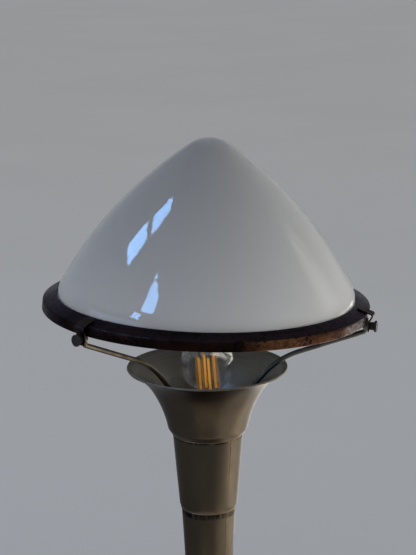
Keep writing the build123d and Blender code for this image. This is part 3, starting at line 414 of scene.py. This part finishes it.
def amber_filament():
    """Yellow coating of a filament that is off. The coating turns blue light into amber; here that shows as a
    painted glow that shines whatever light falls on it.
    """
    tree = materials_tree("amber_filament")
    grain = use(tree, CLOUD, Size=900.0, Low=0.4, High=0.6)["Mask"]
    colour = mixed(tree, grain, (0.85, 0.40, 0.060, 1), (0.72, 0.30, 0.036, 1))
    # Painted glow: a weak emission on a filament that is off.
    painted_glow = {"Emission Color": (0.80, 0.36, 0.045, 1), "Emission Strength": 0.45}
    return new_material("amber_filament", colour, 0.45, 0.0, bumped(tree, grain, 0.0001, 0.4), **painted_glow)


def moulded(name, light, dark, low_rough, high_rough, size=200.0):
    """Cast or moulded material with a slight grain."""
    tree = materials_tree(name)
    cloud = use(tree, CLOUD, Size=size)["Mask"]
    colour = mixed(tree, cloud, light, dark)
    roughness = remapped(tree, cloud, 0.0, 1.0, low_rough, high_rough)
    return new_material(name, colour, roughness, 0.0, bumped(tree, cloud, 0.00015, 0.4))


def felt():
    tree = materials_tree("felt")
    fibres = use(tree, CLOUD, Size=1400.0, Low=0.3, High=0.7)["Mask"]
    colour = mixed(tree, fibres, (0.030, 0.060, 0.036, 1), (0.060, 0.095, 0.060, 1))
    return new_material("felt", colour, 0.95, 0.0, bumped(tree, fibres, 0.0006, 0.8), **{"Sheen Weight": 0.4})


# Meshes

def outline(bm, start, heading, moves):
    """Draws an open outline in the XZ plane from a point (radius, height) in mm.

    A move (length, 0) is straight, (radius, turn) is an arc, and (0, turn) turns on the spot. A turn
    to the left is positive."""
    x, z = start
    tip = bm.verts.new((x * MM, 0, z * MM))
    for size, turn in moves:
        angle = radians(heading)
        if size == 0:
            heading += turn
            continue
        if turn == 0:
            x += size * cos(angle)
            z += size * sin(angle)
            tip = bmesh.ops.extrude_vert_indiv(bm, verts=[tip])["verts"][0]
            tip.co = (x * MM, 0, z * MM)
            continue
        side = 1 if turn > 0 else -1
        centre = (x - side * size * sin(angle), z + side * size * cos(angle))
        spun = bmesh.ops.spin(
            bm, geom=[tip], cent=(centre[0] * MM, 0, centre[1] * MM), axis=(0, -1, 0),
            angle=radians(turn), steps=max(2, ceil(abs(turn) / FINENESS)),
        )
        tip = [item for item in spun["geom_last"] if isinstance(item, bmesh.types.BMVert)][0]
        heading += turn
        angle = radians(heading)
        x = centre[0] + side * size * sin(angle)
        z = centre[1] - side * size * cos(angle)
    return tip


def extended(bm, tip, points):
    """Goes on from a point of an outline through more points (radius, height) in mm."""
    for radius, height in points:
        tip = bmesh.ops.extrude_vert_indiv(bm, verts=[tip])["verts"][0]
        tip.co = (radius * MM, 0, height * MM)
    return tip


def polyline(bm, points, closed=False):
    """Draws an outline through points (radius, height) in mm."""
    first = bm.verts.new((points[0][0] * MM, 0, points[0][1] * MM))
    tip = extended(bm, first, points[1:])
    if closed:
        bm.edges.new((tip, first))


def softened(bm, corners, width, segments=3):
    """Rounds corners of an outline; each corner is a point (radius, height) in mm."""
    for radius, height in corners:
        spot = Vector((radius * MM, 0, height * MM))
        corner = min(bm.verts, key=lambda vertex: (vertex.co - spot).length)
        bmesh.ops.bevel(
            bm, geom=[corner], offset=width * MM, segments=segments, profile=0.5,
            affect="VERTICES", material=-1,
        )


def divided(bm, length):
    """Cuts the long edges of an outline, so that a bend or a dent has points to move."""
    for edge in [edge for edge in bm.edges if edge.calc_length() > 1.5 * length * MM]:
        bmesh.ops.subdivide_edges(bm, edges=[edge], cuts=int(edge.calc_length() / (length * MM)))


def spin_round(bm, steps):
    """Turns the outline all the way round Z and points its faces outwards."""
    bmesh.ops.spin(
        bm, geom=bm.verts[:] + bm.edges[:], cent=(0, 0, 0), axis=(0, 0, 1),
        angle=2 * pi, steps=steps, use_merge=True,
    )
    bmesh.ops.remove_doubles(bm, verts=bm.verts, dist=0.000001)
    bmesh.ops.recalc_face_normals(bm, faces=bm.faces)


def finished(bm, name, material, body, replaced=()):
    """Makes a piece of a mesh: it rides a body, fills a slot and may replace a solid."""
    for edge in bm.edges:
        edge.smooth = len(edge.link_faces) != 2 or edge.calc_face_angle() < radians(SHARP_EDGE)
    mesh = bpy.data.meshes.new(name)
    bm.to_mesh(mesh)
    bm.free()
    for face in mesh.polygons:
        face.use_smooth = True
    mesh.materials.append(material)
    piece = bpy.data.objects.new(name, mesh)
    bpy.context.scene.collection.objects.link(piece)
    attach(piece, body)
    if replaced:
        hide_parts(*replaced)
    return piece


def walled(piece, thickness, bevel=0.0):
    """Gives a sheet its thickness inwards, and rounds its edges."""
    wall = piece.modifiers.new("wall", "SOLIDIFY")
    wall.thickness = thickness * MM
    wall.offset = -1
    wall.use_even_offset = True
    if bevel:
        rounded(piece, bevel)


def rounded(piece, width):
    """Rounds the sharp edges of a piece."""
    bevel = piece.modifiers.new("edges", "BEVEL")
    bevel.width = width * MM
    bevel.segments = 2
    bevel.limit_method = "ANGLE"
    bevel.angle_limit = radians(30)
    bevel.harden_normals = True


def ring_place(azimuth, radius, drop):
    """Point in metres that leans with the ring, at a drop under its upper outer edge."""
    return LEANING @ stem_place(azimuth, radius, -drop)


def stem_place(azimuth, radius, height):
    """Point in metres about the stem's axis."""
    angle = radians(azimuth)
    return Vector((radius * sin(angle), -radius * cos(angle), height)) * MM


def wavy(bm, amount, size, seed, along_z=1.0):
    """Moves every point towards the axis by up to an amount, as an uneven hand finish does."""
    for vertex in bm.verts:
        radius = Vector((vertex.co.x, vertex.co.y)).length
        if radius < 5 * MM:
            continue
        place = Vector((vertex.co.x, vertex.co.y, vertex.co.z * along_z)) / (size * MM)
        dent = (noise.noise(place + Vector((seed, 0, 0))) + 1) / 2 * amount * MM
        vertex.co.x *= 1 - dent / radius
        vertex.co.y *= 1 - dent / radius


def bead(name, radius, height, wire_r, material):
    """Thin round ring of solder or rolled edge, on the stem."""
    bm = bmesh.new()
    bmesh.ops.create_circle(bm, segments=10, radius=wire_r * MM)
    bmesh.ops.rotate(bm, verts=bm.verts, cent=(0, 0, 0), matrix=Matrix.Rotation(pi / 2, 3, "X"))
    bmesh.ops.translate(bm, verts=bm.verts, vec=(radius * MM, 0, height * MM))
    spin_round(bm, 128)
    return finished(bm, name, material, "stand")


# Shade and ring

def build_shade(material):
    """Opal glass: a straight rim and three arcs, tangent to one another."""
    rim_r, rim_low, rim_height = 120.2, -5.61, 5.6
    shoulder, side, tip = 32.4, 330.0, 28.5
    shoulder_turn = 29.2
    thickness, edge = 3.5, 1.1
    reach = rim_r - shoulder + (shoulder - side) * cos(radians(shoulder_turn))
    side_end = degrees(acos(reach / (tip - side)))
    bm = bmesh.new()
    outline(bm, (rim_r, rim_low), 90, [
        (rim_height, 0), (shoulder, shoulder_turn), (side, side_end - shoulder_turn), (tip, 90 - side_end),
    ])
    spin_round(bm, 180)
    wavy(bm, amount=0.25, size=34, seed=3.0, along_z=0.45)
    bmesh.ops.transform(bm, matrix=LEANING, verts=bm.verts)
    shade = finished(bm, "opal_shade", material, "shade", ["shade_glass"])
    walled(shade, thickness, edge)
    return shade


def build_ring(material):
    """Channel with a sloping top, open towards the axis."""
    bm = bmesh.new()
    bore_r, rise = 120.6, 4.2
    ledge_r, low, ledge_top = 114.5, -7.8, -6.6
    crown = (bore_r, rise)
    top_corner, low_corner = (131.8, 0.0), (132.4, low)
    ledge = [(ledge_r, low), (ledge_r, ledge_top)]
    inside = [(131.2, ledge_top), (130.6, -0.83), (bore_r, 3.0)]
    polyline(bm, [crown, top_corner, low_corner, *ledge, *inside], closed=True)
    softened(bm, [top_corner, low_corner], 0.9, 4)
    softened(bm, [crown, *ledge], 0.25, 2)
    divided(bm, 3)
    spin_round(bm, 240)
    wavy(bm, amount=0.18, size=9, seed=7.0)
    bmesh.ops.transform(bm, matrix=LEANING, verts=bm.verts)
    return finished(bm, "shade_ring_channel", material, "stand", ["shade_ring"])


# Stem

# Node, foot and top as (radius, height), and radius of the end in the section above
SECTIONS = {
    "lower_section": ("lower_stem", (15.4, 44.2), (17.85, JOINTS_Z[0]), 18.5),
    "middle_section": ("middle_stem", (19.4, JOINTS_Z[0] + BEND_RISE), (22.45, JOINTS_Z[1]), 23.1),
    "upper_section": ("upper_stem", (24.0, JOINTS_Z[1] + BEND_RISE), (29.0, JOINTS_Z[2]), 29.0),
}
SPIGOT = 6.0
LIP_GAP = 0.1
LIP_EDGE = 0.3
LIP_BEADS = {"middle_lip": 18.15, "upper_lip": 22.75, "bell_lip": 29.3}  # radii, from the lowest joint up
SEAM_WIDTH = 1.8
SEAM_THICKNESS = 0.34
SEAM_SINK = 0.22  # how deep the seam's back lies under the section's outer face
RIM_BEAD_R = 0.45
LIP_BEAD_R = 0.28


def build_section(name, material, below_r=None):
    """Tapered tube of sheet, whose foot closes with a lip on the section below."""
    node, foot, top, end_r = SECTIONS[name]
    bend_z = top[1] + BEND_RISE
    end_z = top[1] + SPIGOT
    points = [
        foot, top, (end_r, bend_z), (end_r, end_z), (end_r - SHEET, end_z), (end_r - SHEET, bend_z),
        (top[0] - SHEET, top[1]), (foot[0] - SHEET, foot[1]),
    ]
    if below_r:
        lip_z = foot[1] - BEND_RISE
        points += [(below_r + LIP_GAP, lip_z), (below_r + LIP_GAP + LIP_EDGE, lip_z)]
    bm = bmesh.new()
    polyline(bm, points, closed=True)
    softened(bm, [foot], 0.8)
    divided(bm, 6)
    spin_round(bm, 128)
    wavy(bm, amount=0.12, size=14, seed=foot[1], along_z=0.5)
    return finished(bm, name, material, "stand", [node])


def build_seam(name, material):
    """Folded seam of a section's sheet: a thin raised strip up its side."""
    foot, top = SECTIONS[name][1:3]
    low = Vector((foot[0] - SEAM_SINK, 0, foot[1] + 1.5)) * MM
    high = Vector((top[0] - SEAM_SINK, 0, top[1] - 0.5)) * MM
    bm = bmesh.new()
    bmesh.ops.create_grid(bm, x_segments=1, y_segments=24, size=0.5)
    upright = Matrix.Rotation(pi / 2, 4, "X") @ Matrix.Rotation(pi, 4, "Y")
    bmesh.ops.transform(bm, verts=bm.verts, matrix=upright)
    for vertex in bm.verts:
        share = vertex.co.z + 0.5
        place = low.lerp(high, share)
        vertex.co = Vector((place.x, vertex.co.x * SEAM_WIDTH * MM, place.z))
    bmesh.ops.recalc_face_normals(bm, faces=bm.faces)
    if bm.faces[:][0].normal.x < 0:
        bmesh.ops.reverse_faces(bm, faces=bm.faces)
    turn = Matrix.Rotation(radians(SEAM_AZIMUTH - 90), 3, "Z")
    bmesh.ops.rotate(bm, verts=bm.verts, cent=(0, 0, 0), matrix=turn)
    strip = finished(bm, name.replace("section", "seam"), material, "stand")
    wall = strip.modifiers.new("wall", "SOLIDIFY")
    wall.thickness = SEAM_THICKNESS * MM
    wall.offset = 1
    rounded(strip, 0.15)
    return strip


def build_bell(material):
    """Horn mouth of sheet: a lip, then two arcs, and the same inside."""
    neck, rim = 99.5, 48.6
    neck_turn, rim_turn = 20.6, 32.3
    foot_lean = 11.0
    foot_r, foot_z = 32.8, JOINTS_Z[2] + 4.9
    stem_r = SECTIONS["upper_section"][2][0]
    bm = bmesh.new()
    end = outline(bm, (foot_r, foot_z), 90 - foot_lean, [
        (neck, -neck_turn), (rim, -rim_turn), (0, 90), (SHEET, 0), (0, 90),
        (rim + SHEET, rim_turn), (neck + SHEET, neck_turn),
    ])
    first = min(bm.verts, key=lambda vertex: (vertex.co - Vector((foot_r, 0, foot_z)) * MM).length)
    lip_r = stem_r + LIP_GAP
    end = extended(bm, end, [(lip_r, JOINTS_Z[2]), (lip_r + LIP_EDGE, JOINTS_Z[2])])
    bm.edges.new((end, first))
    softened(bm, [(foot_r, foot_z)], 1.0)
    spin_round(bm, 160)
    wavy(bm, amount=0.20, size=26, seed=11.0, along_z=0.7)
    return finished(bm, "horn_mouth", material, "stand", ["horn_bell"])


# Thumbscrews

FLUTES = 24
FLUTE_DEPTH = 0.35
FLUTED_R = 4.1  # what lies further out has flutes
RAISED_SHARE = 0.6  # share of the way from one flute to the next that stays raised
SHOULDER_R = 134.0  # the knob's shoulder, from the ring's axis
SCREW_DROP = 10.8  # the screw's axis under the ring's upper outer edge


def build_knob(number, azimuth, material):
    """Thumbscrew drawn about Z, laid along its screw's axis afterwards."""
    bm = bmesh.new()
    polyline(bm, [
        (0, -6.4), (1.6, -6.4), (2.0, -6.0), (2.0, 0), (3.0, 0), (3.3, 0.3), (3.3, 3.1), (3.1, 3.4),
        (4.2, 3.4), (4.6, 3.8), (4.6, 5.0), (4.2, 5.4), (3.0, 5.4), (2.7, 5.1), (0, 5.1),
    ])
    spin_round(bm, 96)
    for vertex in bm.verts:
        radius = Vector((vertex.co.x, vertex.co.y)).length
        if radius < FLUTED_R * MM:
            continue
        turn = (Vector((vertex.co.x, vertex.co.y)).angle_signed(Vector((1, 0)), 0.0) / (2 * pi)) % 1
        if (turn * FLUTES) % 1 > RAISED_SHARE:
            vertex.co.x *= 1 - FLUTE_DEPTH * MM / radius
            vertex.co.y *= 1 - FLUTE_DEPTH * MM / radius
    lay = Matrix.Translation((SHOULDER_R * MM, 0, -SCREW_DROP * MM)) @ Matrix.Rotation(pi / 2, 4, "Y")
    turn = Matrix.Rotation(radians(azimuth - 90), 4, "Z")
    bmesh.ops.transform(bm, matrix=LEANING @ turn @ lay, verts=bm.verts)
    bmesh.ops.recalc_face_normals(bm, faces=bm.faces)
    screw = f"thumbscrew_{number}"
    return finished(bm, f"knurled_screw_{number}", material, screw, [screw])


# Bulb

BULB_WALL = 0.7
FILAMENTS = 4
FILAMENT_R = 1.0
FILAMENT_LENGTH = 28.0
FILAMENT_EDGE = 0.5
FILAMENT_CIRCLE_R = 6.3
FILAMENT_DROP = 7.4  # middle of the filaments under the globe's centre
FILAMENT_TURN = 15  # azimuth of the first filament
FILAMENT_LEAN = -4
PIN_R = 0.45
PIN_LENGTH = 1.4
PIN_REACH = 14.2  # middle of a pin from the middle of its filament


def build_bulb(material):
    """Globe and neck: an arc, a hollow arc tangent to it, and a straight tail in the cap."""
    globe_turn, neck_arc_r, neck_turn, tail = 141.342, 17.198, 51.342, 4.0
    bm = bmesh.new()
    outline(bm, (0, BULB_Z + BULB_R), 0, [(BULB_R, -globe_turn), (neck_arc_r, neck_turn), (tail, 0)])
    spin_round(bm, 96)
    bulb = finished(bm, "bulb_envelope", material, "bulb", ["bulb_glass"])
    walled(bulb, BULB_WALL)
    return bulb


def build_filaments(amber, metal):
    """Four rods in a ring that leans sideways, with a metal pin at both ends of each."""
    rods = bmesh.new()
    pins = bmesh.new()
    lean = Matrix.Rotation(radians(FILAMENT_LEAN), 4, "Y")
    middle = Matrix.Translation((0, 0, (BULB_Z - FILAMENT_DROP) * MM)) @ lean
    for number in range(FILAMENTS):
        azimuth = FILAMENT_TURN + 360 / FILAMENTS * number
        place = middle @ Matrix.Translation(stem_place(azimuth, FILAMENT_CIRCLE_R, 0))
        rod = bmesh.ops.create_cone(
            rods, cap_ends=True, segments=16, radius1=FILAMENT_R * MM, radius2=FILAMENT_R * MM,
            depth=FILAMENT_LENGTH * MM, matrix=place,
        )
        rims = {edge for vertex in rod["verts"] for edge in vertex.link_edges if len(edge.link_faces) == 2}
        rims = [edge for edge in rims if edge.calc_face_angle() > 1]
        bmesh.ops.bevel(
            rods, geom=rims, offset=FILAMENT_EDGE * MM, segments=3, profile=0.5,
            affect="EDGES", material=-1,
        )
        for side in (-1, 1):
            end = place @ Matrix.Translation((0, 0, side * PIN_REACH * MM))
            bmesh.ops.create_cone(
                pins, cap_ends=True, segments=12, radius1=PIN_R * MM, radius2=PIN_R * MM,
                depth=PIN_LENGTH * MM, matrix=end,
            )
    finished(rods, "filament_rods", amber, "bulb", ["filaments"])
    finished(pins, "filament_pins", metal, "bulb")


# Making

glass = opal_glass()
bronze = dark_bronze()
horn = horn_metal()
knob = black_knob()
bulb_glass = clear_glass("bulb_clear", (1.0, 0.99, 0.97, 1))
amber = amber_filament()
rim_metal = plain_metal("rim_metal", (0.25, 0.20, 0.150, 1), (0.12, 0.095, 0.070, 1), 0.50, 0.62)
lip_metal = plain_metal("lip_metal", (0.26, 0.19, 0.125, 1), (0.085, 0.062, 0.040, 1), 0.46, 0.60)
brass = plain_metal(
    "aged_brass", (0.30, 0.22, 0.12, 1), (0.13, 0.095, 0.055, 1), 0.26, 0.44, 60.0, (0.62, 0.48, 0.28, 1),
)
arm_metal = plain_metal(
    "arm_metal", (0.155, 0.130, 0.098, 1), (0.070, 0.057, 0.042, 1), 0.36, 0.52, 60.0, (0.30, 0.25, 0.18, 1),
)
dull_steel = plain_metal(
    "dull_steel", (0.120, 0.116, 0.108, 1), (0.058, 0.055, 0.052, 1), 0.36, 0.52, 60.0, (0.30, 0.28, 0.25, 1),
)
bright_steel = plain_metal("bright_steel", (0.52, 0.52, 0.51, 1), (0.36, 0.35, 0.34, 1), 0.22, 0.36)
clip_metal = plain_metal(
    "clip_metal", (0.034, 0.024, 0.020, 1), (0.014, 0.010, 0.009, 1), 0.28, 0.46, 90.0, (0.26, 0.19, 0.13, 1),
)
insulator = moulded("black_insulator", (0.020, 0.020, 0.022, 1), (0.034, 0.033, 0.034, 1), 0.22, 0.34)
rubber = moulded("rubber", (0.42, 0.41, 0.38, 1), (0.34, 0.33, 0.30, 1), 0.55, 0.7)
iron = moulded("cast_iron", (0.070, 0.070, 0.072, 1), (0.045, 0.043, 0.042, 1), 0.55, 0.75, 350.0)
felt_cloth = felt()

CARRIED = {
    "felt_pad": felt_cloth, "base_plate": bright_steel, "base_plate_screws": bright_steel,
    "base_weight": iron, "base_shell": horn, "cord_bush": insulator, "rod_washer": bright_steel,
    "rod_nut": bright_steel, "foot_collar": brass, "stem_rod": bright_steel, "arm_hub": brass,
    "hub_nut": bright_steel, "hub_grub_screws": bright_steel, "lampholder_cap": brass,
    "lampholder_shell": insulator, "lampholder_insulator": insulator, "terminal_screws": brass,
    "screw_contact": brass, "centre_contact": brass, "bulb_cap": bright_steel,
    "bulb_insulator": insulator, "bulb_tip": bright_steel, "bulb_stem": bulb_glass,
    "filament_leads": bright_steel, "seat_ring": rubber,
    "support_arm_1": arm_metal, "support_arm_2": dull_steel, "support_arm_3": arm_metal,
    "ring_clip_1": clip_metal, "ring_clip_2": clip_metal, "ring_clip_3": clip_metal,
}
for node_name, material in CARRIED.items():
    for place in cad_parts[node_name].material_slots:
        place.material = material

build_shade(glass)
build_ring(bronze)
below_r = None
for section, (_, _, top, _) in SECTIONS.items():
    build_section(section, horn, below_r)
    build_seam(section, horn)
    below_r = top[0]
build_bell(horn)
bead("bell_rim", RIM_R, RIM_Z, RIM_BEAD_R, rim_metal)
for (name, radius), joint_z in zip(LIP_BEADS.items(), JOINTS_Z):
    bead(name, radius, joint_z, LIP_BEAD_R, lip_metal)
for number, azimuth in enumerate(ARM_AZIMUTHS, start=1):
    build_knob(number, azimuth, knob)
build_bulb(bulb_glass)
build_filaments(amber, bright_steel)


# Floor, lights and camera

def build_floor():
    bm = bmesh.new()
    bmesh.ops.create_grid(bm, x_segments=2, y_segments=2, size=20.0)
    mesh = bpy.data.meshes.new("floor")
    bm.to_mesh(mesh)
    bm.free()
    tree = materials_tree("floor")
    grain = use(tree, CLOUD, Size=1.5)["Mask"]
    colour = mixed(tree, grain, (0.72, 0.715, 0.70, 1), (0.70, 0.695, 0.68, 1))
    mesh.materials.append(new_material("floor", colour, 0.85, **{"Specular IOR Level": 0.0}))
    floor = bpy.data.objects.new("floor", mesh)
    bpy.context.scene.collection.objects.link(floor)


def lamp(name, place, target, width, height, radiance, gloss=True, diffuse=True, spread=180):
    """Area light whose face has the given radiance in each colour, less where the spread is narrow."""
    light = bpy.data.lights.new(name, "AREA")
    light.shape = "RECTANGLE"
    light.size = width
    light.size_y = height
    light.spread = radians(spread)
    peak = max(radiance)
    light.energy = peak * pi * width * height
    light.color = [part / peak for part in radiance]
    source = bpy.data.objects.new(name, light)
    source.location = place
    source.rotation_euler = (Vector(target) - Vector(place)).to_track_quat("-Z", "Y").to_euler()
    source.visible_camera = False
    source.visible_glossy = gloss
    source.visible_diffuse = diffuse
    bpy.context.scene.collection.objects.link(source)


# Panes of light that the glass mirrors at its left: lowest and highest y and z, in metres
PANES_X = -1.5
PANES = (
    (-0.10, 0.30, 2.26, 3.20),
    (-0.07, 0.33, 1.62, 2.09),
    (-1.50, -1.02, 1.72, 2.42),
    (-1.20, -0.92, 0.90, 1.42),
)
PANE_RADIANCE = (5.0, 10.2, 20.0)
# Pale strips that the glass mirrors at its right: azimuths and elevations of their edges
STRIPS = ((97, 100, 2, 22), (102, 106, 2, 28), (108, 114, 3, 33), (117, 119, 8, 31))
STRIP_REACH = 1.5
STRIP_RADIANCE = (1.25, 1.2, 1.13)
GLASS_MIDDLE_Z = 0.41


def light_scene():
    world = bpy.data.worlds.new("studio")
    world.use_nodes = True
    tree = world.node_tree
    place = put(tree, "ShaderNodeSeparateXYZ", {0: put(tree, "ShaderNodeTexCoord").outputs["Generated"]})
    across = remapped(tree, place.outputs["X"], -0.7, 0.7)
    sky = mixed(tree, across, (0.285, 0.31, 0.36, 1), (0.57, 0.57, 0.56, 1))
    tree.links.new(sky, tree.nodes["Background"].inputs["Color"])
    bpy.context.scene.world = world
    lamp(
        "right_softbox", (0.92, -0.10, 0.13), (0, 0, 0.66), 1.0, 0.22, (1.42, 1.37, 1.27),
        gloss=False, spread=62,
    )
    lamp("left_fill", (-0.9, -0.3, 2.2), (0, 0, 0.4), 1.0, 1.0, (0.70, 1.05, 1.70), gloss=False)
    lamp("low_panel", (0.218, 0.144, 0.15), (0, 0, 0.15), 0.66, 0.30, (2.2, 2.1, 1.9), diffuse=False)
    lamp("ring_panel", (0.655, 0.459, 0.18), (0, 0, 0.30), 0.49, 0.14, (2.2, 2.1, 1.9), diffuse=False)
    lamp("floor_panel", (0.34, -0.04, 0.004), (0.34, -0.04, 1.0), 0.46, 0.44, (1.3, 1.2, 1.05), diffuse=False)
    lamp(
        "front_panel", (0.01, -0.17, 0.004), (0.01, -0.17, 1.0), 0.26, 0.14, (0.60, 0.50, 0.38),
        diffuse=False,
    )
    lamp("left_panel", (-0.95, -0.35, 0.43), (0, 0, 0.30), 0.9, 0.20, (0.8, 1.15, 1.9), diffuse=False)
    for number, (y_low, y_high, z_low, z_high) in enumerate(PANES, start=1):
        place = (PANES_X, (y_low + y_high) / 2, (z_low + z_high) / 2)
        target = (0, place[1], place[2])
        lamp(f"pane_{number}", place, target, y_high - y_low, z_high - z_low, PANE_RADIANCE, diffuse=False)
    for number, (first, last, lowest, highest) in enumerate(STRIPS, start=1):
        middle = radians((first + last) / 2)
        z_low = GLASS_MIDDLE_Z + STRIP_REACH * tan(radians(lowest))
        z_high = GLASS_MIDDLE_Z + STRIP_REACH * tan(radians(highest))
        place = (STRIP_REACH * sin(middle), -STRIP_REACH * cos(middle), (z_low + z_high) / 2)
        width = 2 * STRIP_REACH * tan(radians(last - first) / 2)
        lamp(f"strip_{number}", place, (0, 0, place[2]), width, z_high - z_low, STRIP_RADIANCE, diffuse=False)


def place_camera():
    """Camera 1.25 m in front of the lamp's axis, looking slightly down."""
    camera = bpy.data.cameras.new("camera")
    camera.lens = 103.79
    camera.sensor_width = 36
    camera.clip_end = 100
    viewer = bpy.data.objects.new("camera", camera)
    pan = Matrix.Rotation(radians(-0.0618), 4, "Z")
    tilt = Matrix.Rotation(radians(90 - 13.327), 4, "X")
    roll = Matrix.Rotation(radians(-0.572), 4, "Z")
    viewer.matrix_world = Matrix.Translation((0, -1.2540, 0.6640)) @ pan @ tilt @ roll
    bpy.context.scene.collection.objects.link(viewer)
    bpy.context.scene.camera = viewer


build_floor()
light_scene()
place_camera()
bpy.context.scene.view_settings.view_transform = "Standard"
